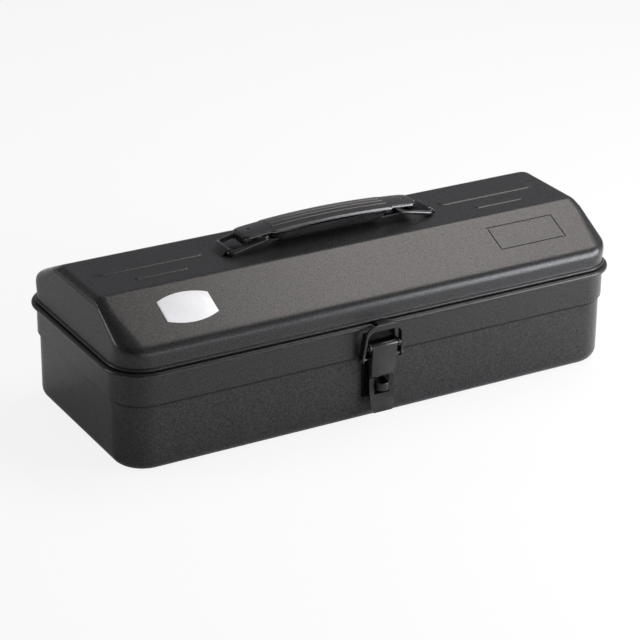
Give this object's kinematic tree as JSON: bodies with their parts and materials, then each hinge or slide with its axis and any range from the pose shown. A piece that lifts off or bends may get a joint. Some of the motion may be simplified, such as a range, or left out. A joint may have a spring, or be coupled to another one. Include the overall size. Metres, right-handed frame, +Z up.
{
  "type": "tool box",
  "caption": "Camber-top sheet-steel tool box with a hinged lid, draw latch with padlock staple, lift-up handle on wire links and a loose inner tray.",
  "frame": {"origin": "middle of the flat underside", "axes": "+X to the viewer's right along the length, -Y to the front with the latch, +Z up"},
  "size_m": [0.359, 0.1621, 0.1155],
  "materials": {
    "body_paint": "fine satin black enamel on drawn sheet steel",
    "latch_paint": "semi-gloss black enamel on pressed steel",
    "handle_paint": "semi-gloss black enamel on pressed steel and wire",
    "pin_steel": "blackened drawn wire",
    "label_film": "matt white film, blank"
  },
  "bodies": {
    "body": {"box_body": "body_paint", "latch_base": "latch_paint", "latch_staple": "latch_paint", "latch_pin": "pin_steel", "hinge_leaf_body_left": "latch_paint", "hinge_leaf_body_right": "latch_paint", "hinge_pin_left": "pin_steel", "hinge_pin_right": "pin_steel"},
    "lid": {"lid_shell": "body_paint", "lid_catch": "latch_paint", "hinge_leaf_lid_left": "latch_paint", "hinge_leaf_lid_right": "latch_paint", "handle_bracket_left": "handle_paint", "handle_bracket_right": "handle_paint", "label_blank": "label_film"},
    "lever": {"latch_lever": "latch_paint", "loop_pin": "pin_steel"},
    "loop": {"latch_loop": "latch_paint"},
    "grip": {"handle_cover": "handle_paint", "handle_belly": "handle_paint"},
    "link_left": {"handle_link_left": "handle_paint"},
    "link_right": {"handle_link_right": "handle_paint"},
    "tray": {"tray": "body_paint", "tray_divider": "body_paint"}
  },
  "joints": [
    {"name": "lid_hinge", "type": "hinge", "parent": "body", "child": "lid", "pos_m": [0, 0.0775, 0.0682], "axis": [-1, 0, 0], "range_deg": [0, 105]},
    {"name": "lever_flip", "type": "hinge", "parent": "body", "child": "lever", "pos_m": [-0.0028, -0.0775, 0.0528], "axis": [-1, 0, 0], "range_deg": [0, 120]},
    {"name": "loop_swing", "type": "hinge", "parent": "lever", "child": "loop", "pos_m": [-0.0028, -0.0752, 0.0445], "axis": [-1, 0, 0], "range_deg": [-120.5, 0]},
    {"name": "handle_lift", "type": "slide", "parent": "lid", "child": "grip", "axis": [0, 0, 1], "range_m": [0, 0.0176]},
    {"name": "link_left_swing", "type": "hinge", "parent": "lid", "child": "link_left", "pos_m": [-0.073, 0, 0.1024], "axis": [0, -1, 0], "range_deg": [0, 42.75]},
    {"name": "link_right_swing", "type": "hinge", "parent": "lid", "child": "link_right", "pos_m": [0.073, 0, 0.1024], "axis": [0, 1, 0], "range_deg": [0, 42.75]},
    {"name": "tray_slide", "type": "slide", "parent": "body", "child": "tray", "axis": [1, 0, 0], "range_m": [0, 0.132]}
  ],
  "couplings": [
    {"joint": "loop_swing", "follows": "lever_flip", "ratio": -1},
    {"joint": "link_left_swing", "follows": "handle_lift", "rad_per_m": 42.344},
    {"joint": "link_right_swing", "follows": "handle_lift", "rad_per_m": 42.344}
  ]
}
